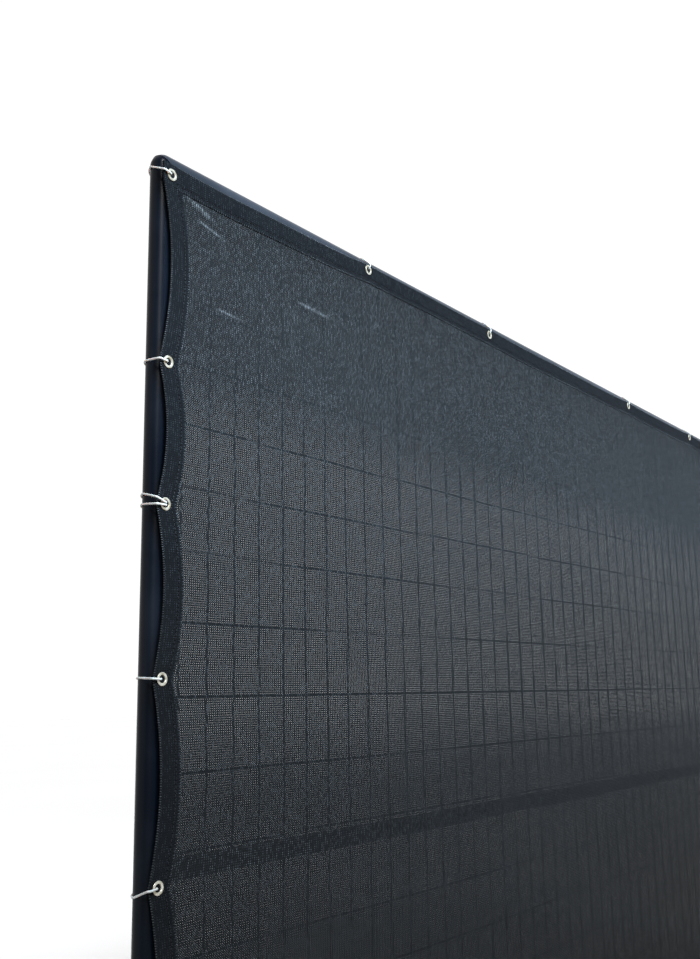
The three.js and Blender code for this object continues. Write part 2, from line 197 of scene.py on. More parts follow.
class Wiring:
    """Short ways to add nodes to a material."""

    def __init__(self, tree):
        self.tree = tree

    def node(self, kind, **values):
        n = self.tree.nodes.new(kind)
        for key, value in values.items():
            setattr(n, key, value)
        return n

    def link(self, a, b):
        self.tree.links.new(a, b)

    def put(self, socket, value):
        if hasattr(value, "is_output"):
            self.link(value, socket)
        else:
            socket.default_value = value

    def math(self, operation, a, b=0.0, c=0.0):
        n = self.node("ShaderNodeMath", operation=operation)
        for socket, value in zip(n.inputs, (a, b, c)):
            self.put(socket, value)
        return n.outputs[0]

    def ramp(self, value, low, high, out_low=0.0, out_high=1.0):
        n = self.node("ShaderNodeMapRange", interpolation_type="SMOOTHSTEP")
        self.put(n.inputs["Value"], value)
        self.put(n.inputs["From Min"], low)
        self.put(n.inputs["From Max"], high)
        self.put(n.inputs["To Min"], out_low)
        self.put(n.inputs["To Max"], out_high)
        return n.outputs["Result"]

    def noise(self, vector, scale, detail=2.0, roughness=0.5):
        n = self.node("ShaderNodeTexNoise")
        self.link(vector, n.inputs["Vector"])
        n.inputs["Scale"].default_value = scale
        n.inputs["Detail"].default_value = detail
        n.inputs["Roughness"].default_value = roughness
        return n.outputs["Fac"]

    def cell(self, across, up):
        """A steady random number for each stitch of the knit."""
        place = self.node("ShaderNodeCombineXYZ")
        self.link(across, place.inputs[0])
        self.link(up, place.inputs[1])
        n = self.node("ShaderNodeTexWhiteNoise", noise_dimensions="2D")
        self.link(place.outputs[0], n.inputs["Vector"])
        return n.outputs["Value"]

    def mix(self, factor, a, b):
        n = self.node("ShaderNodeMix", data_type="RGBA")
        self.put(n.inputs[0], factor)
        self.put(n.inputs[6], a)
        self.put(n.inputs[7], b)
        return n.outputs[2]

    def bump(self, height, strength, distance):
        n = self.node("ShaderNodeBump")
        n.inputs["Strength"].default_value = strength
        n.inputs["Distance"].default_value = distance
        self.link(height, n.inputs["Height"])
        return n.outputs["Normal"]


# The knit: upright chains of loops with slanting threads laid between them, in millimetres.
WALE = 4.6
COURSE = 3.5
CHAIN_HALF = 1.59
LOOP_SWELL = 0.35
INLAY_HALF = 1.255
HOLE_VARIES = 0.1  # how unevenly the threads close each hole
STITCH_AT = 30  # the hem's stitching, from the edge
DENSE_HIGH = (1320, 1510, 0.29)  # from this height to that one the knit closes up by this much
DENSE_LOW = (940, 760, 0.22)
FLECKS = (0.86, 0.99)  # one stitch in seven catches the light, from a little to most
# Painted highlights lighten the threads along the sharpest creases: where each starts and ends, from the
# left post's axis and the top of the fence, and its half width.
CREASE_SHEEN = [
    dict(x0=20, z0=-56, x1=104, z1=-84, wide=8),
    dict(x0=40, z0=-88, x1=128, z1=-106, wide=5),
    dict(x0=290, z0=-160, x1=420, z1=-167, wide=5),
    dict(x0=80, z0=-234, x1=170, z1=-241, wide=4),
]
SHEEN_IN = 0.3  # the painted highlight grows over this share of a crease's length
SHEEN_OUT = 0.5  # and fades from this share on


def crease_sheen(w, split, row):
    """How far a place of the flat cloth lies on one crease's painted highlight, from 0 to 1."""
    dx = row["x1"] - row["x0"]
    dz = row["z1"] - row["z0"]
    length = math.hypot(dx, dz)
    x = w.math("SUBTRACT", split.outputs["X"], row["x0"] - HALF)
    z = w.math("SUBTRACT", split.outputs["Y"], row["z0"] + TOP)
    along = w.math("MULTIPLY_ADD", x, dx / length, w.math("MULTIPLY", z, dz / length))
    across = w.math("MULTIPLY_ADD", x, dz / length, w.math("MULTIPLY", z, -dx / length))
    ends = w.math("MULTIPLY", w.ramp(along, 0, SHEEN_IN * length), w.ramp(along, length, SHEEN_OUT * length))
    return w.math("MULTIPLY", ends, w.ramp(w.math("ABSOLUTE", across), 0, row["wide"], 1.0, 0.0))


def knit(name, shade, lit_tone, holes=True, shaded_stitch_line=False):
    """Knitted mesh in threads of colour shade, with lit loops here and there. A hem has, in place of holes,
    a dark band at its stitching: the dark thread and painted shade in the groove."""
    material, tree, bsdf = shader(name, shade, 0.62, specular=0.03)
    w = Wiring(tree)
    uv = w.node("ShaderNodeUVMap", uv_map="flat").outputs["UV"]
    split = w.node("ShaderNodeSeparateXYZ")
    w.link(uv, split.inputs[0])
    u_wales = w.math("DIVIDE", split.outputs["X"], WALE)
    v_courses = w.math("DIVIDE", split.outputs["Y"], COURSE)
    fx = w.math("SUBTRACT", w.math("FRACT", u_wales), 0.5)
    loop = w.math("COSINE", w.math("MULTIPLY", v_courses, 2 * math.pi))
    off_chain = w.math("MULTIPLY", w.math("ABSOLUTE", fx), WALE)
    chain = w.math("SUBTRACT", w.math("MULTIPLY_ADD", loop, LOOP_SWELL, CHAIN_HALF), off_chain)
    inlays = []
    for slant in (w.math("ADD", v_courses, fx), w.math("SUBTRACT", v_courses, fx)):
        off = w.math("MULTIPLY", w.math("ABSOLUTE", w.math("SUBTRACT", w.math("FRACT", slant), 0.5)), COURSE)
        inlays.append(w.math("SUBTRACT", INLAY_HALF, off))
    inlay = w.math("MAXIMUM", *inlays)
    cell = w.cell(w.math("FLOOR", u_wales), w.math("FLOOR", v_courses))
    patch = w.noise(uv, 0.013, 2.0)
    if holes:
        uneven = w.math("MULTIPLY", w.math("SUBTRACT", cell, 0.5), 2 * HOLE_VARIES)
        strand = w.math("ADD", w.math("MAXIMUM", chain, inlay), uneven)
        thin = w.ramp(patch, 0.35, 0.65, -0.02, 0.02)
        closed = w.math("ADD", strand, thin)
        for start, end, most in (DENSE_HIGH, DENSE_LOW):
            closed = w.math("ADD", closed, w.ramp(split.outputs["Y"], start, end, 0.0, most))
        w.link(w.ramp(closed, -0.2, 0.12), bsdf.inputs["Alpha"])
    height = w.math("ADD", w.ramp(chain, -0.4, 1.4), w.math("MULTIPLY", w.ramp(inlay, -0.3, 1.1), 0.5))
    w.link(w.bump(height, 0.9, 0.0007), bsdf.inputs["Normal"])
    ridge = w.math("MULTIPLY", w.ramp(chain, 0.7, 1.7), w.ramp(cell, 0.35, 0.95))
    fibre = w.noise(uv, 0.4, 2.0)
    lit = w.math("MULTIPLY", ridge, w.ramp(fibre, 0.3, 0.6, 0.4, 1.0))
    lit = w.math("MULTIPLY", lit, w.ramp(loop, -0.5, 0.5, 0.1, 1.0))
    crest = w.math("MULTIPLY", w.ramp(chain, 0.2, 1.2), w.ramp(loop, -0.2, 0.7))
    lit = w.math("MAXIMUM", lit, w.math("MULTIPLY", w.ramp(cell, *FLECKS, 0.0, 0.65), crest))
    sheen_share = w.math("MULTIPLY", w.ramp(cell, 0.1, 0.9, 0.25, 1.0), w.ramp(chain, -0.2, 1.2, 0.1, 1.2))
    # Painted highlights along the creases, in the lit tone.
    for row in CREASE_SHEEN:
        lit = w.math("MAXIMUM", lit, w.math("MULTIPLY", crease_sheen(w, split, row), sheen_share))
    tone = w.mix(w.ramp(patch, 0.3, 0.7), (*shade, 1), (*(1.12 * c for c in shade), 1))
    tone = w.mix(lit, tone, (*lit_tone, 1))
    # A darker band along the stitching: partly the dark thread, partly painted shade in the stitch groove.
    if shaded_stitch_line:
        seam = w.node("ShaderNodeUVMap", uv_map="seam").outputs["UV"]
        parts = w.node("ShaderNodeSeparateXYZ")
        w.link(seam, parts.inputs[0])
        beside = w.math("ABSOLUTE", w.math("SUBTRACT", parts.outputs["Y"], STITCH_AT))
        dark = tuple(0.3 * c for c in shade)
        tone = w.mix(w.ramp(beside, 0.7, 2.0, 1.0, 0.0), tone, (*dark, 1))
    w.link(tone, bsdf.inputs["Base Color"])
    w.link(w.ramp(fibre, 0.3, 0.7, 0.5, 0.7), bsdf.inputs["Roughness"])
    return material


def thread(name, low, high):
    """Sewing or edge thread whose lit loops come and go along the cloth."""
    material, tree, bsdf = shader(name, low, 0.55, specular=0.2)
    w = Wiring(tree)
    place = w.node("ShaderNodeTexCoord").outputs["Object"]
    stretch = w.noise(place, 3.1, 2.0)
    fleck = w.noise(place, 260, 1.0)
    lit = w.math("MULTIPLY", w.ramp(stretch, 0.38, 0.6, 0.25, 1.0), w.ramp(fleck, 0.36, 0.6, 0.3, 1.0))
    w.link(w.mix(lit, (*low, 1), (*high, 1)), bsdf.inputs["Base Color"])
    w.link(w.bump(w.noise(place, 1500, 2.0), 0.3, 0.0002), bsdf.inputs["Normal"])
    return material


def powder_coat(name, base):
    """Satin powder coat: fine orange peel, faint dust and dulling in patches."""
    material, tree, bsdf = shader(name, base, 0.3, specular=0.08)
    w = Wiring(tree)
    place = w.node("ShaderNodeTexCoord").outputs["Object"]
    peel = w.noise(place, 900, 2.0)
    dust = w.noise(place, 7, 5.0, 0.6)
    w.link(w.bump(peel, 0.12, 0.0004), bsdf.inputs["Normal"])
    w.link(w.ramp(dust, 0.35, 0.75, 0.25, 0.36), bsdf.inputs["Roughness"])
    dusty = tuple(c * 1.5 + 0.0012 for c in base)
    w.link(w.mix(w.ramp(dust, 0.4, 0.8), (*base, 1), (*dusty, 1)), bsdf.inputs["Base Color"])
    return material


def plated_metal(name):
    """Pale nickel over brass, warmer and duller in stains."""
    material, tree, bsdf = shader(name, (0.45, 0.43, 0.36), 0.34, metallic=0.7)
    w = Wiring(tree)
    place = w.node("ShaderNodeTexCoord").outputs["Object"]
    stain = w.noise(place, 160, 3.0)
    tone = w.mix(w.ramp(stain, 0.38, 0.7), (0.47, 0.45, 0.385, 1), (0.27, 0.24, 0.17, 1))
    w.link(tone, bsdf.inputs["Base Color"])
    w.link(w.ramp(stain, 0.3, 0.7, 0.3, 0.45), bsdf.inputs["Roughness"])
    w.link(w.bump(w.noise(place, 1400, 2.0), 0.08, 0.0002), bsdf.inputs["Normal"])
    return material


def nylon(name):
    """Light grey moulded nylon with a soft shine."""
    material, tree, bsdf = shader(name, (0.28, 0.28, 0.275), 0.42, specular=0.4)
    w = Wiring(tree)
    place = w.node("ShaderNodeTexCoord").outputs["Object"]
    tone = w.noise(place, 90, 3.0)
    colour = w.mix(w.ramp(tone, 0.35, 0.7), (0.3, 0.3, 0.295, 1), (0.22, 0.22, 0.215, 1))
    w.link(colour, bsdf.inputs["Base Color"])
    w.link(w.bump(w.noise(place, 700, 2.0), 0.15, 0.0003), bsdf.inputs["Normal"])
    bsdf.inputs["Subsurface Weight"].default_value = 0.08
    return material


def floor_paint(name):
    """Pale studio floor."""
    material, tree, bsdf = shader(name, (0.66, 0.66, 0.66), 0.7, specular=0.2)
    w = Wiring(tree)
    place = w.node("ShaderNodeTexCoord").outputs["Object"]
    colour = w.mix(w.noise(place, 0.6, 3.0), (0.66, 0.66, 0.665, 1), (0.69, 0.69, 0.695, 1))
    w.link(colour, bsdf.inputs["Base Color"])
    return material


MESH = knit("knitted_mesh", (0.005, 0.0057, 0.0065), (0.056, 0.063, 0.07))
HEM = knit("folded_hem", (0.003, 0.0036, 0.0044), (0.018, 0.021, 0.025), holes=False, shaded_stitch_line=True)
TUBE = powder_coat("powder_coat", (0.0008, 0.0016, 0.0032))
TOP_TUBE = powder_coat("powder_coat_sky_lit", (0.011, 0.013, 0.017))  # the top rail gets a lighter copy of the coat: painted light from the sky above it
WIRE = powder_coat("wire_coat", (0.0015, 0.002, 0.003))
METAL = plated_metal("nickel_plate")
NYLON = nylon("tie_nylon")
THREAD = thread("stitch_thread", (0.005, 0.006, 0.008), (0.02, 0.023, 0.027))
EDGE_THREAD = thread("edge_thread", (0.008, 0.01, 0.012), (0.085, 0.095, 0.105))


# The hung shape of the cloth, the same as in the CAD.
def span_of(rows, key, value):
    """The two neighbouring rows of a table round a value, and how far along between them it lies."""
    k = 0
    while k < len(rows) - 2 and value > rows[k + 1][key]:
        k += 1
    a = rows[k]
    b = rows[k + 1]
    s = min(max((value - a[key]) / (b[key] - a[key]), 0), 1)
    return a, b, s


def bow(s):
    """An even sag between two eyelets, from 0 at each to 1 halfway."""
    return 4 * s * (1 - s)


def swell(s):
    """As bow, but level at each eyelet."""
    return math.sin(math.pi * s) ** 2


def fade(distance):
    """How much of an edge's shape is left at a distance in from it."""
    return max(0, 1 - max(0, distance - HEM_WIDTH) / SPREAD) ** 2


def waved(x, z, inset):
    """How far the broad waves bring a place of the cloth's middle forward or back."""
    share = min(1, max(0, (inset - CALM_FROM) / CALM_OVER))
    y = WAVE_SHIFT
    for wave in WAVES:
        way = wave["along_x"] * x + wave["along_z"] * z
        y += wave["deep"] * math.sin(2 * math.pi * way / wave["long"] + wave["start"])
    return y * share * share * (3 - 2 * share)


def hung(x, z):
    """A place on the flat sheet goes to its place on the hung one."""
    a, b, s = span_of(ALONG, "x", x + HALF)
    low, _, t = span_of(DOWN, "z", z)
    from_left = x - LEFT
    from_right = RIGHT - x
    from_bottom = z - BOTTOM
    from_top = TOP_EDGE - z
    edge_top = (a["topZ"] + a["above"]) * (1 - s) + (b["topZ"] + b["above"]) * s - a["dip"] * bow(s)
    edge_low = a["bottomZ"] + (b["bottomZ"] - a["bottomZ"]) * s - MARGIN + a["lift"] * bow(s)
    dx = low["scoopLeft"] * bow(t) * fade(from_left) - low["scoopRight"] * bow(t) * fade(from_right)
    dz = (edge_top - TOP_EDGE) * fade(from_top) + (edge_low - BOTTOM) * fade(from_bottom)
    near_top = a["puff"] * swell(s) * (fade(from_top) + LOW_PUFF * fade(from_bottom))
    near_side = low["puff"] * swell(t) * (fade(from_left) + fade(from_right))
    wave = waved(x, z, min(from_left, from_right, from_top, from_bottom))
    return x + dx, CLOTH_Y - near_top - near_side + wave, z + dz


# Soft creases in the hung cloth, placed from the left post's axis and the top of the fence: where each
# starts and ends, its half width and how deep it is.
CREASES = [
    dict(x0=22, z0=-60, x1=86, z1=-77, wide=6.5, deep=-2.4),
    dict(x0=30, z0=-84, x1=150, z1=-104, wide=8, deep=1.5),
    dict(x0=296, z0=-163, x1=404, z1=-166, wide=6, deep=-1.6),
    dict(x0=56, z0=-231, x1=164, z1=-240, wide=6.5, deep=1.4),
    dict(x0=8, z0=-44, x1=190, z1=-150, wide=11, deep=1.6),
    dict(x0=2, z0=-52, x1=120, z1=-230, wide=13, deep=1.2),
    dict(x0=240, z0=-150, x1=520, z1=-265, wide=14, deep=1.3),
    dict(x0=30, z0=-40, x1=420, z1=-92, wide=12, deep=1.2),
    dict(x0=6, z0=-360, x1=150, z1=-420, wide=12, deep=1.0),
    dict(x0=6, z0=-350, x1=120, z1=-270, wide=12, deep=0.9),
    dict(x0=6, z0=-575, x1=120, z1=-530, wide=10, deep=0.8),
    dict(x0=6, z0=-578, x1=130, z1=-640, wide=11, deep=0.8),
    dict(x0=4, z0=-830, x1=140, z1=-790, wide=12, deep=0.8),
    dict(x0=4, z0=-834, x1=120, z1=-900, wide=12, deep=0.9),
    dict(x0=0, z0=-1115, x1=160, z1=-1050, wide=13, deep=1.0),
    dict(x0=0, z0=-1115, x1=140, z1=-1190, wide=12, deep=0.9),
    dict(x0=527, z0=-40, x1=430, z1=-170, wide=12, deep=0.9),
    dict(x0=527, z0=-40, x1=640, z1=-165, wide=12, deep=0.9),
    dict(x0=1009, z0=-42, x1=900, z1=-180, wide=13, deep=1.0),
    dict(x0=1009, z0=-42, x1=1150, z1=-200, wide=13, deep=1.0),
    dict(x0=1837, z0=-38, x1=1690, z1=-190, wide=14, deep=1.0),
    dict(x0=1837, z0=-38, x1=1960, z1=-180, wide=13, deep=0.9),
    dict(x0=2357, z0=-36, x1=2230, z1=-180, wide=13, deep=0.9),
    dict(x0=2357, z0=-36, x1=2500, z1=-190, wide=13, deep=0.9),
]
CREASE_LEAD = 20  # a crease reaches back this far before its start
CREASE_REACH = 4  # and this many half widths to each side
CREASE_SKIP = 0.12  # it starts this far into its swell, so it is deepest before its middle
CREASE_FULL = 0.7  # this power fills the swell out
CREASE_RIM = 0.6  # how much the cloth rises again beside it


def creased(x, z):
    """How far the creases push the cloth back at a flat place."""
    total = 0.0
    for c in CREASES:
        x0 = c["x0"] - HALF
        z0 = c["z0"] + TOP
        dx = c["x1"] - c["x0"]
        dz = c["z1"] - c["z0"]
        length = math.hypot(dx, dz)
        along = ((x - x0) * dx + (z - z0) * dz) / length
        across = ((x - x0) * dz - (z - z0) * dx) / length
        if -CREASE_LEAD < along < length and abs(across) < CREASE_REACH * c["wide"]:
            s = CREASE_SKIP + (1 - CREASE_SKIP) * max(along / length, 0)
            taper = math.sin(math.pi * s) ** CREASE_FULL
            q = across / c["wide"]
            total += c["deep"] * taper * (1 - CREASE_RIM * q * q) * math.exp(-q * q)
    return total


def cloth_point(x, z, forward=0.0):
    """A flat place on the hung and creased cloth, some way forward of its middle."""
    px, py, pz = hung(x, z)
    return px, py + creased(x, z) - forward, pz


EYELET_PLACES = []
for count, row in enumerate(ALONG[1:-1], 1):
    tie_row = dict(x=row["x"] - HALF, front=row["drift"], side=row["drift"] / 2, back=0)
    top = dict(z=row["topZ"], margin=row["above"], out="up", axis=TOP_RAIL_Z)
    low = dict(z=row["bottomZ"], margin=MARGIN, out="low", axis=BOTTOM_RAIL_Z)
    EYELET_PLACES.append(dict(name=f"top_{count}", **top, **tie_row))
    EYELET_PLACES.append(dict(name=f"bottom_{count}", **low, **tie_row))
for count, row in enumerate(DOWN, 1):
    tie_row = dict(z=row["z"], margin=MARGIN, front=row["front"], side=row["side"], back=row["back"])
    EYELET_PLACES.append(dict(name=f"left_{count}", x=LEFT + MARGIN, out="left", axis=-HALF, **tie_row))
    EYELET_PLACES.append(dict(name=f"right_{count}", x=RIGHT - MARGIN, out="right", axis=HALF, **tie_row))


def steps(low, high, size):
    count = max(1, round((high - low) / size))
    return [low + (high - low) * k / count for k in range(count + 1)]


# The cloth.
SHEET_STEP = 8.5
TUCK = 8  # the single layer runs this far under the hem


def mesh_sheet():
    parts = Parts()
    start = HEM_WIDTH - TUCK
    xs = steps(LEFT + start, RIGHT - start, SHEET_STEP)
    zs = steps(BOTTOM + start, TOP_EDGE - start, SHEET_STEP)
    rows = [[cloth_point(x, z) for x in xs] for z in zs]
    parts.grid(rows, [[(x, z) for x in xs] for z in zs])
    return mesh_piece("mesh_sheet_cloth", parts.points, parts.faces, MESH, uvs=parts.uvs)


# The hem's section: how far in from the edge, and how far forward of the sheet's middle. A flat fold of
# cloth with a groove at the stitching and a loose lip beyond it.
HEM_SECTION = [
    (39.0, 0.45),
    (38.7, 0.95),
    (37.4, 1.3),
    (35.0, 1.45),
    (32.4, 1.25),
    (31.0, 0.9),
    (30.0, 0.72),
    (29.0, 0.9),
    (27.0, 1.25),
    (20.0, 1.4),
    (13.0, 1.4),
    (6.0, 1.4),
    (2.2, 1.3),
    (0.7, 0.95),
    (0.0, 0.1),
    (0.7, -0.75),
    (2.2, -1.15),
    (8.0, -1.25),
    (20.0, -1.25),
    (30.0, -1.0),
    (37.0, -1.2),
    (39.0, -0.6),
]
SIDES = ("left", "right", "top", "bottom")
TOP_LAP = 1.18  # the top and bottom hems are folded over the side hems and stand further out
HEM_STEP = 9.0
SIDE_SHORT = 2  # a side hem ends this far inside the cloth's top and bottom edges


def flat_place(side, along, inward):
    """The flat place of a point inward from an edge of the cloth."""
    return {
        "left": (LEFT + inward, along),
        "right": (RIGHT - inward, along),
        "top": (along, TOP_EDGE - inward),
        "bottom": (along, BOTTOM + inward),
    }[side]


def lap(side):
    return TOP_LAP if side in ("top", "bottom") else 1.0


def hem_strip(side):
    """The folded hem along one edge."""
    parts = Parts()
    upright = side in ("left", "right")
    low, high = (BOTTOM + SIDE_SHORT, TOP_EDGE - SIDE_SHORT) if upright else (LEFT, RIGHT)
    rows = []
    uvs = []
    seams = []
    for s in steps(low, high, HEM_STEP):
        row = []
        uv = []
        seam = []
        for inward, forward in HEM_SECTION:
            x, z = flat_place(side, s, inward)
            row.append(cloth_point(x, z, forward * lap(side)))
            uv.append((x, z) if forward >= 0 else (x + WALE / 3, z + COURSE / 3))
            seam.append((s, inward if forward >= 0 else 0))
        rows.append(row)
        uvs.append(uv)
        seams += seam
    parts.grid(rows, uvs)
    return mesh_piece("hem_" + side, parts.points, parts.faces, HEM, uvs=parts.uvs, seams=seams)


THREAD_SIDES = 6
THREAD_END = 0.4  # a thread's ends are drawn in to this share of its radius


def rod(parts, stations, radius):
    """A short thread through stations, its two ends drawn in."""
    base = len(parts.points)
    sides = THREAD_SIDES
    last = len(stations) - 1
    for k, at in enumerate(stations):
        run = (stations[min(k + 1, last)] - stations[max(k - 1, 0)]).normalized()
        side = run.cross(Vector((0, 1, 0.01))).normalized()
        up = side.cross(run)
        r = radius * (THREAD_END if k in (0, last) else 1)
        for j in range(sides):
            t = 2 * math.pi * j / sides
            parts.points.append(tuple(at + side * (r * math.cos(t)) + up * (r * math.sin(t))))
    for k in range(last):
        for j in range(sides):
            a = base + k * sides + j
            b = base + k * sides + (j + 1) % sides
            parts.faces.append((a, b, b + sides, a + sides))
    parts.cap(sides, base, flip=True)
    parts.cap(sides, base + last * sides)


def thread_rows(name, stations_of, pitch, radius, material):
    """Like threads repeated along all four edges; stations_of gives each one's points."""
    parts = Parts()
    for side in SIDES:
        low, high = (BOTTOM, TOP_EDGE) if side in ("left", "right") else (LEFT, RIGHT)
        for s in steps(low + STITCH_AT, high - STITCH_AT, pitch)[:-1]:
            rod(parts, [Vector(p) for p in stations_of(side, s)], radius)
    return mesh_piece(name, parts.points, parts.faces, material)


STITCH_PITCH = 6.0
STITCH_R = 0.45
FOLD_LOOP_R = 0.4
LIP_LOOP_R = 0.35


def stitch(side, s):
    """One lock stitch in the groove, its ends dipping into the cloth."""
    points = []
    for share, forward in ((0.06, 0.5), (0.25, 0.95), (0.75, 0.95), (0.94, 0.5)):
        x, z = flat_place(side, s + STITCH_PITCH * share, STITCH_AT)
        points.append(cloth_point(x, z, forward * lap(side)))
    return points


def fold_loop(side, s):
    """A loop of the knit that turns over the hem's outer fold."""
    points = []
    for inward, forward in ((2.6, 1.2), (1.4, 1.3), (0.4, 0.95), (0.0, 0.1), (0.5, -0.8)):
        x, z = flat_place(side, s, inward)
        points.append(cloth_point(x, z, forward * lap(side)))
    return points


def lip_loop(side, s):
    """A loop of the knit that turns over the lip inside the stitching."""
    points = []
    for inward, forward in ((36.4, 1.3), (37.8, 1.45), (39.0, 1.1), (39.5, 0.4)):
        x, z = flat_place(side, s, inward)
        points.append(cloth_point(x, z, forward * lap(side)))
    return points


# Eyelets.
def eyelet(place):
    """A two-part eyelet: rolled front rim, barrel and back washer, turned round its axis."""
    front = CLOTH_Y - HEM_THICK / 2 - EYELET["ahead"]
    back = CLOTH_Y + HEM_THICK / 2 + EYELET["behind"]
    hole = EYELET["hole"]
    rim = EYELET["front"]
    section = [
        (hole, back + 0.55),
        (hole, (front + back) / 2),
        (hole + 0.1, front + 0.2),
        (hole + 0.5, front - 0.5),
        (hole + 1.2, front - 0.9),
        (hole + 2.1, front - 1.0),
        (rim - 1.4, front - 0.8),
        (rim - 0.5, front - 0.4),
        (rim, front - 0.05),
        (rim - 0.15, front + 0.15),
        (EYELET["barrel"], front + 0.15),
        (EYELET["barrel"], back - 0.05),
        (EYELET["back"] - 0.2, back - 0.05),
        (EYELET["back"], back + 0.15),
        (EYELET["back"] - 0.2, back + 0.5),
        (hole + 0.4, back + 0.65),
    ]
    parts = Parts()
    rows = []
    for r, y in section:
        ring = []
        for k in range(EYELET_SIDES):
            t = 2 * math.pi * k / EYELET_SIDES
            ring.append((place["x"] + r * math.cos(t), y, place["z"] + r * math.sin(t)))
        rows.append(ring)
    parts.grid(rows, close_u=True, close_v=True)
    piece = mesh_piece("rim_" + place["name"], parts.points, parts.faces, METAL)
    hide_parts("eyelet_" + place["name"])
    return piece


# Ties.
def convex(points):
    """Points of a convex outline, anticlockwise."""
    ordered = sorted(points)

    def turn(o, a, b):
        return (a[0] - o[0]) * (b[1] - o[1]) - (a[1] - o[1]) * (b[0] - o[0])

    def half(items):
        chain = []
        for p in items:
            while len(chain) > 1 and turn(chain[-2], chain[-1], p) <= 0:
                chain.pop()
            chain.append(p)
        return chain[:-1]

    return half(ordered) + half(ordered[::-1])


def strap_run(hole_u, margin, inward):
    """The strap's run in the plane square to its tube: from the hole, over the edge and round the tube."""
    edge = hole_u + margin
    face = CLOTH_Y - HEM_THICK / 2
    front = face - STRAP["ahead"] - STRAP["thick"] / 2
    near = (hole_u - STRAP["over_edge"], -STRAP_R - SEAT)
    over = (edge + STRAP["over_edge"], face)
    ring = [near, over]
    for k in range(RING_STEPS):
        t = math.radians(360 / RING_STEPS * k)
        p = ((STRAP_R + RING_OUT) * math.cos(t), (STRAP_R + RING_OUT) * math.sin(t))
        if p[1] > -TUBE_R:
            ring.append(p)
    hull = convex(ring)
    at = hull.index(over)
    lead = [(hole_u + row["out"] - inward, CLOTH_Y + row["back"]) for row in IN_HOLE]
    lead += [(hole_u + PAST_RIM - inward, front), (edge - BEFORE_EDGE, front)]
    return lead + hull[at:] + hull[:at]


def climb(k, last, u, rise):
    """How far the strap has climbed along the tube at a station of its run."""
    if k < EDGE_STATION or k == last:
        return 0
    if k == EDGE_STATION:
        return rise["front"] * LEAD_CLIMB
    if k == EDGE_STATION + 1:
        return rise["front"]
    return rise["back"] + (rise["side"] - rise["back"]) * (u / STRAP_R + 1) / 2


CORD_SIDES = 12
CORD_WIDTH = 3.2
CORD_THICK = 2.3  # thicker than the plain strap on its outer side only
CURVE_STEP = 1.2  # steps of a strap's curve are about this long
CURVE_STEPS = 5  # with no more than this many between two stations


def smooth_loop(points):
    """A closed Catmull-Rom curve through points."""
    n = len(points)
    out = []
    for k in range(n):
        p0, p1, p2, p3 = (Vector(points[(k + d) % n]) for d in (-1, 0, 1, 2))
        count = max(1, min(CURVE_STEPS, int((p2 - p1).length / CURVE_STEP)))
        for j in range(count):
            t = j / count
            a = 2 * p1
            b = (p2 - p0) * t
            c = (2 * p0 - 5 * p1 + 4 * p2 - p3) * t * t
            d = (3 * p1 - p0 - 3 * p2 + p3) * t * t * t
            out.append((a + b + c + d) / 2)
    return out


def tie(place, offset, rise, inward=0, suffix=""):
    """One strap with its lock; rise says how far it climbs, as an eyelet's own row does for its tie."""
    sign = {"left": -1, "right": 1, "up": 1, "low": -1}[place["out"]]
    sideways = place["out"] in ("left", "right")
    hole_at = place["x"] if sideways else place["z"]
    run = strap_run(sign * (hole_at - place["axis"]), place["margin"], inward)
    last = len(run) - 1
    path = smooth_loop([(u, v, offset + climb(k, last, u, rise)) for k, (u, v) in enumerate(run)])
    outward = (CORD_THICK - STRAP["thick"]) / 2
    section = []
    for k in range(CORD_SIDES):
        t = 2 * math.pi * (k + 0.5) / CORD_SIDES
        section.append((CORD_WIDTH / 2 * math.cos(t), outward + CORD_THICK / 2 * math.sin(t)))
    parts = Parts()
    rows = []
    m = len(path)
    for k in range(m):
        step = path[(k + 1) % m] - path[k - 1]
        run_uv = Vector((step.x, step.y, 0)).normalized()
        normal = Vector((run_uv.y, -run_uv.x, 0))
        ring = []
        for across, out in section:
            p = path[k] + normal * out + Vector((0, 0, across))
            ring.append(placed(place, sign * p.x, p.y, p.z))
        rows.append(ring)
    parts.grid(rows, close_u=True, close_v=True)
    lock(parts, place, offset + (rise["side"] + rise["back"]) / 2)
    piece = mesh_piece("strap_" + place["name"] + suffix, parts.points, parts.faces, NYLON)
    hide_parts("tie_" + place["name"] + suffix)
    return piece


def lock(parts, place, w):
    """The strap's small lock behind the tube: a bevelled block."""
    y0 = TUBE_R + LOCK["near"]
    y1 = TUBE_R + LOCK["far"]
    half = LOCK["half"]
    rows = []
    for y, s in ((y0, 0.8), (y0 + 0.6, 1), (y1 - 0.7, 1), (y1, 0.75)):
        ring = []
        for k in range(LOCK_SIDES):
            t = 2 * math.pi * (k + 0.5) / LOCK_SIDES
            c = math.copysign(abs(math.cos(t)) ** LOCK_SQUARE, math.cos(t))
            d = math.copysign(abs(math.sin(t)) ** LOCK_SQUARE, math.sin(t))
            ring.append(placed(place, half * s * c, y, w + half * s * d))
        rows.append(ring)
    base = len(parts.points)
    parts.grid(rows, close_u=True)
    parts.cap(LOCK_SIDES, base)
    parts.cap(LOCK_SIDES, base + (len(rows) - 1) * LOCK_SIDES, flip=True)


def placed(place, u, v, w):
    """A point of a tie: u out from its tube's axis, v back from it, and w along the tube from the eyelet."""
    if place["out"] in ("left", "right"):
        return place["axis"] + u, v, place["z"] + w
    return place["x"] + w, v, place["axis"] + u


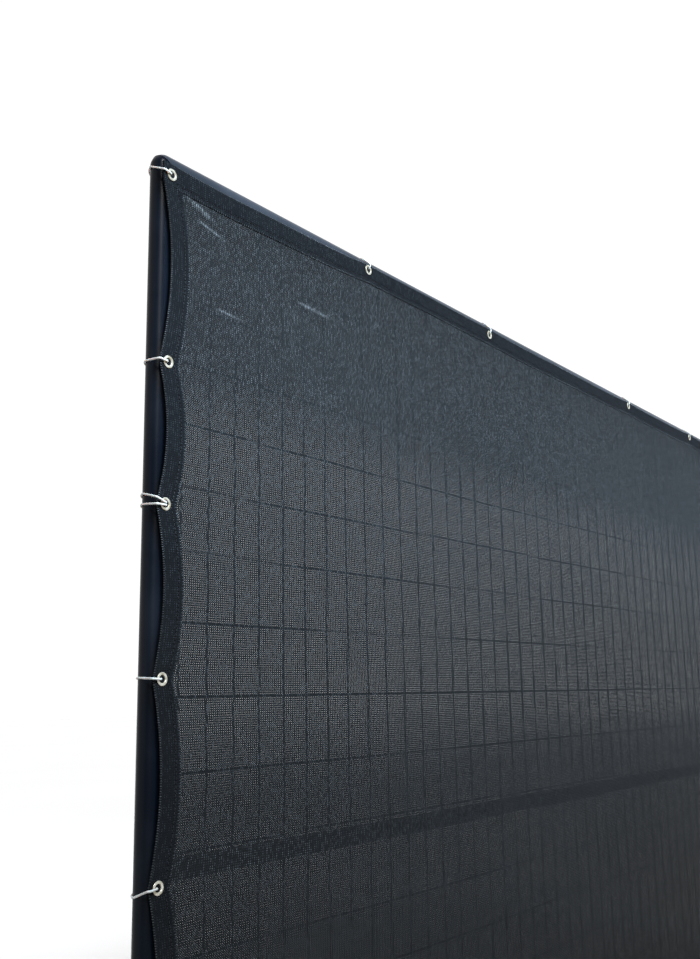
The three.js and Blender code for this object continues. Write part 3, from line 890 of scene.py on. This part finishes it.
# Frame.
ROUND = 48  # sides of a round tube
CORNER_ROUND = 20  # the ground-off outer corner of a mitre
CORNER_RINGS = 6
INNER_ROUND = 0.8  # the least radius, at the inner corner
MITRE_CLEAR = 6  # a tube is plain from this far before its mitre
COPE_CLEAR = 4  # and from this far beyond the post it fits round
WELD = 1.1
WELD_SIDES = 6
WELD_FLAT = 0.6  # a bead stands out this share of its half width
FOOT_GAP = 0.2  # between a post and its base plate
FOOT_WELD = 4.5
PLATE_CORNER = 14
PLATE_CORNER_STEPS = 6
# A base plate's edge: height, and how far in from its side.
PLATE_EDGE = [(0, 0.6), (0.6, 0), (PLATE_THICK - 1.4, 0), (PLATE_THICK - 0.4, 0.5), (PLATE_THICK, 1.5)]
WIRE_SIDES = 10
WIRE_SINK = 0.15  # crossing wires are each sunk this far into the other
WIRE_END = 1  # wires run this far into the tubes


def recalc(piece):
    """Faces turned outwards."""
    b = bmesh.new()
    b.from_mesh(piece.data)
    bmesh.ops.recalc_face_normals(b, faces=b.faces)
    b.to_mesh(piece.data)
    b.free()


def tube_piece(name, node, rings, beads=(), finish=TUBE):
    """A closed tube through rings of points, with weld beads round it."""
    parts = Parts()
    parts.grid(rings, close_u=True)
    parts.cap(ROUND, 0, flip=True)
    parts.cap(ROUND, len(parts.points) - ROUND)
    for bead in beads:
        parts.grid(bead, close_u=True, close_v=True)
    piece = mesh_piece(name, parts.points, parts.faces, finish)
    recalc(piece)
    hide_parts(node)
    return piece


def mitre_rings():
    """Rings at a mitred end of a tube, as (outward, depth, along) from the crossing of the two axes. The
    outer corner is rounded off."""
    rings = []
    for j in range(CORNER_RINGS + 1):
        turn = math.radians(45) * j / CORNER_RINGS
        ring = []
        for k in range(ROUND):
            t = 2 * math.pi * k / ROUND
            out = TUBE_R * math.cos(t)
            r = max(INNER_ROUND, CORNER_ROUND * math.cos(t))
            ring.append((out - r + r * math.cos(turn), TUBE_R * math.sin(t), out - r + r * math.sin(turn)))
        rings.append(ring)
    return rings


def bead_round(line, radial, axial, size):
    """A weld bead along a closed line; radial and axial give its two directions at each point."""
    rows = []
    for j in range(WELD_SIDES):
        t = 2 * math.pi * j / WELD_SIDES
        row = []
        for p, r, a in zip(line, radial, axial):
            shift = Vector(r) * (math.cos(t) * size * WELD_FLAT) + Vector(a) * (math.sin(t) * size)
            row.append(tuple(Vector(p) + shift))
        rows.append(row)
    return rows


def post(side, out):
    """A post with the weld at its foot and a mitred top."""
    x = out * HALF
    foot = PLATE_THICK + FOOT_GAP
    bead = FOOT_WELD
    rings = []
    for r, z in (
        (TUBE_R + bead, foot),
        (TUBE_R + bead * 0.75, foot + bead * 0.4),
        (TUBE_R + 0.6, foot + bead),
        (TUBE_R, foot + bead + 1.2),
        (TUBE_R, TOP_RAIL_Z - TUBE_R - MITRE_CLEAR),
    ):
        ring = []
        for k in range(ROUND):
            t = 2 * math.pi * k / ROUND
            ring.append((x + out * r * math.cos(t), r * math.sin(t), z))
        rings.append(ring)
    for ring in mitre_rings():
        rings.append([(x + out * o, y, TOP_RAIL_Z + along) for o, y, along in ring])
    return tube_piece(f"upright_{side}", f"post_{side}", rings)


def top_rail():
    """The top rail, mitred and welded to the posts."""
    left = [[(-HALF - along, y, TOP_RAIL_Z + o) for o, y, along in ring] for ring in mitre_rings()]
    right = [[(HALF + along, y, TOP_RAIL_Z + o) for o, y, along in ring] for ring in mitre_rings()]
    inner = TUBE_R + MITRE_CLEAR
    straight = []
    for end in (-HALF + inner, HALF - inner):
        straight.append([(end, y, z) for _, y, z in left[0]])
    beads = []
    for end, ring in ((-1, left[-1]), (1, right[-1])):
        radial = []
        for x, y, z in ring:
            radial.append(Vector((x - end * HALF, y, z - TOP_RAIL_Z)).normalized())
        across = Vector((end, 0, -1)).normalized()
        beads.append(bead_round(ring, radial, [across] * ROUND, WELD))
    return tube_piece("bar_top", "rail_top", left[::-1] + straight + right, beads, TOP_TUBE)


def coped_rail(name, node, radius, z):
    """A rail whose ends fit round the posts, welded all round."""
    rings = []
    beads = []
    for end in (-1, 1):
        saddle = []
        plain = []
        radial = []
        for k in range(ROUND):
            t = 2 * math.pi * k / ROUND
            y = radius * math.cos(t)
            up = radius * math.sin(t)
            reach = HALF - math.sqrt(max(0, TUBE_R * TUBE_R - y * y))
            saddle.append((end * reach, y, z + up))
            plain.append((end * (HALF - TUBE_R - COPE_CLEAR), y, z + up))
            radial.append((0, math.cos(t), math.sin(t)))
        beads.append(bead_round(saddle, radial, [(1, 0, 0)] * ROUND, WELD))
        rings += [saddle, plain] if end < 0 else [plain, saddle]
    return tube_piece(name, node, rings, beads)


def plate(side, x):
    """A base plate with rounded corners and softened upper edge."""
    parts = Parts()
    half = PLATE_WIDTH / 2
    rows = []
    for z, inset in PLATE_EDGE:
        ring = []
        for quarter in range(4):
            for k in range(PLATE_CORNER_STEPS + 1):
                t = math.radians(90 * quarter + 90 / PLATE_CORNER_STEPS * k)
                cx = (half - PLATE_CORNER) * (1 if quarter in (0, 3) else -1)
                cy = (half - PLATE_CORNER) * (1 if quarter in (0, 1) else -1)
                r = PLATE_CORNER - inset
                ring.append((x + cx + r * math.cos(t), cy + r * math.sin(t), z))
        rows.append(ring)
    parts.grid(rows, close_u=True)
    parts.cap(len(ring), 0, flip=True)
    parts.cap(len(ring), len(parts.points) - len(ring))
    piece = mesh_piece(f"plate_{side}", parts.points, parts.faces, TUBE, smooth=False)
    recalc(piece)
    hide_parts(f"base_plate_{side}")
    return piece


def wire_panel(panel, z0, z1, rows):
    """Round wires between two rails: uprights behind, cross wires in front, touching as welded."""
    parts = Parts()
    first = -HALF + FIRST_WIRE

    def wire(p, q, upright):
        base = len(parts.points)
        ends = []
        for end in (p, q):
            ring = []
            for k in range(WIRE_SIDES):
                t = 2 * math.pi * k / WIRE_SIDES
                c = WIRE_R * math.cos(t)
                s = WIRE_R * math.sin(t)
                x, y, z = end
                ring.append((x + c, y + s, z) if upright else (x, y + s, z + c))
            ends.append(ring)
        parts.grid(ends, close_u=True)
        parts.cap(WIRE_SIDES, base)
        parts.cap(WIRE_SIDES, base + WIRE_SIDES, flip=True)

    back = WIRE_R - WIRE_SINK
    for k in range(WIRE_COUNT):
        x = first + k * WIRE_PITCH
        wire((x, back, z0 - WIRE_END), (x, back, z1 + WIRE_END), True)
    reach = HALF - TUBE_R + WIRE_END
    for z in rows:
        wire((-reach, -back, z), (reach, -back, z), False)
    piece = mesh_piece(f"infill_{panel}", parts.points, parts.faces, WIRE)
    recalc(piece)
    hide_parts(f"wires_upright_{panel}", f"wires_cross_{panel}")
    return piece


# Build the object.
sheet = mesh_sheet()
trims = [hem_strip(side) for side in SIDES]
trims.append(thread_rows("hem_stitches", stitch, STITCH_PITCH, STITCH_R, THREAD))
trims.append(thread_rows("fold_loops", fold_loop, COURSE, FOLD_LOOP_R, EDGE_THREAD))
trims.append(thread_rows("lip_loops", lip_loop, WALE, LIP_LOOP_R, EDGE_THREAD))
for piece in [sheet, *trims]:
    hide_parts("mesh_sheet")
for place in EYELET_PLACES:
    eyelet(place)
    if place["name"] == DOUBLE_TIE:
        tie(place, PAIR_OFFSET, place, CROWDED)
        tie(place, -PAIR_OFFSET, SECOND_TIE, CROWDED, "_b")
    else:
        tie(place, 0, place)
for side, out in (("left", -1), ("right", 1)):
    post(side, out)
    plate(side, out * HALF)
top_rail()
coped_rail("bar_middle", "rail_middle", MID_R, MID_RAIL_Z)
coped_rail("bar_bottom", "rail_bottom", TUBE_R, BOTTOM_RAIL_Z)
wire_panel("upper", MID_RAIL_Z + MID_R, TOP_RAIL_Z - TUBE_R, UPPER_ROWS)
wire_panel("lower", BOTTOM_RAIL_Z + TUBE_R, MID_RAIL_Z - MID_R, LOWER_ROWS)


# Studio, in metres: a white surround that gives less light in front, a broad key from the upper left, and a
# long soft strip over the upper part of the screen. The camera sees the surround evenly white.
FLOOR_REACH = 40
SKY_FRONT = 0.35
SKY_BACK = 1.06
SKY_TURN = (-0.35, 0.2)  # its light grows between these places from front to back
KEY_FROM = (-3.2, -4.4, 4.6)
KEY_POWER = 3.6
KEY_ANGLE = 16
STRIP_SIZE = (3.4, 0.5)
STRIP_AT = (-0.1, -1.2, 2.4)
STRIP_AIM = (-0.1, 0, 1.42)
STRIP_SPREAD = 50
STRIP_POWER = 78
STRIP_COLOUR = (0.72, 0.88, 1.0)


def studio():
    """The floor, the surround and the two lamps."""
    scene = bpy.context.scene
    data = bpy.data.meshes.new("floor")
    corners = [(x * FLOOR_REACH, y * FLOOR_REACH, 0) for x, y in ((-1, -1), (1, -1), (1, 1), (-1, 1))]
    data.from_pydata(corners, [], [(0, 1, 2, 3)])
    floor = bpy.data.objects.new("floor", data)
    scene.collection.objects.link(floor)
    data.materials.append(floor_paint("floor_paint"))
    world = bpy.data.worlds.new("sky")
    scene.world = world
    world.use_nodes = True
    background = world.node_tree.nodes["Background"]
    w = Wiring(world.node_tree)
    split = w.node("ShaderNodeSeparateXYZ")
    w.link(w.node("ShaderNodeTexCoord").outputs["Generated"], split.inputs[0])
    light = w.ramp(split.outputs["Y"], *SKY_TURN, SKY_FRONT, SKY_BACK)
    seen = w.node("ShaderNodeLightPath").outputs["Is Camera Ray"]
    strength = w.math("MULTIPLY_ADD", seen, w.math("SUBTRACT", SKY_BACK, light), light)
    w.link(strength, background.inputs["Strength"])
    background.inputs["Color"].default_value = (1, 1, 1, 1)
    sun = bpy.data.lights.new("key", "SUN")
    sun.energy = KEY_POWER
    sun.angle = math.radians(KEY_ANGLE)
    lamp(sun, KEY_FROM, (0, 0, 0))
    strip = bpy.data.lights.new("strip", "AREA")
    strip.shape = "RECTANGLE"
    strip.size, strip.size_y = STRIP_SIZE
    strip.energy = STRIP_POWER
    strip.color = STRIP_COLOUR
    strip.spread = math.radians(STRIP_SPREAD)
    lamp(strip, STRIP_AT, STRIP_AIM).visible_glossy = False


def lamp(light, at, aim):
    """A lamp at one place that looks at another."""
    piece = bpy.data.objects.new(light.name, light)
    bpy.context.scene.collection.objects.link(piece)
    piece.location = at
    piece.rotation_euler = (Vector(aim) - Vector(at)).to_track_quat("-Z", "Y").to_euler()
    return piece


# The camera's place is measured from the left post's axis, in millimetres. Two of its directions are given,
# to the right and into the picture, and the third is square to them.
CAMERA_FROM_POST = (-1049, -1160)
CAMERA_Z = 944
FOCAL_PIXELS = 1038.2
CAMERA_RIGHT = Vector((0.60491, -0.79612, -0.01648))
CAMERA_INTO = Vector((0.78181, 0.58986, 0.20209))
SENSOR = 36.0
CLIP = (0.05, 200)


def camera():
    """The camera at the photo's viewpoint."""
    data = bpy.data.cameras.new("camera")
    data.sensor_fit = "AUTO"
    data.sensor_width = SENSOR
    data.lens = SENSOR * FOCAL_PIXELS / PHOTO_HEIGHT
    data.clip_start, data.clip_end = CLIP
    eye = bpy.data.objects.new("camera", data)
    bpy.context.scene.collection.objects.link(eye)
    into = CAMERA_INTO.normalized()
    right = (CAMERA_RIGHT - into * CAMERA_RIGHT.dot(into)).normalized()
    up = right.cross(into)
    turn = Matrix((right, up, -into)).transposed()
    place = Vector((-HALF + CAMERA_FROM_POST[0], CAMERA_FROM_POST[1], CAMERA_Z)) * MM
    eye.matrix_world = Matrix.Translation(place) @ turn.to_4x4()
    bpy.context.scene.camera = eye


studio()
camera()
bpy.context.scene.view_settings.view_transform = "Standard"
bpy.context.view_layer.update()
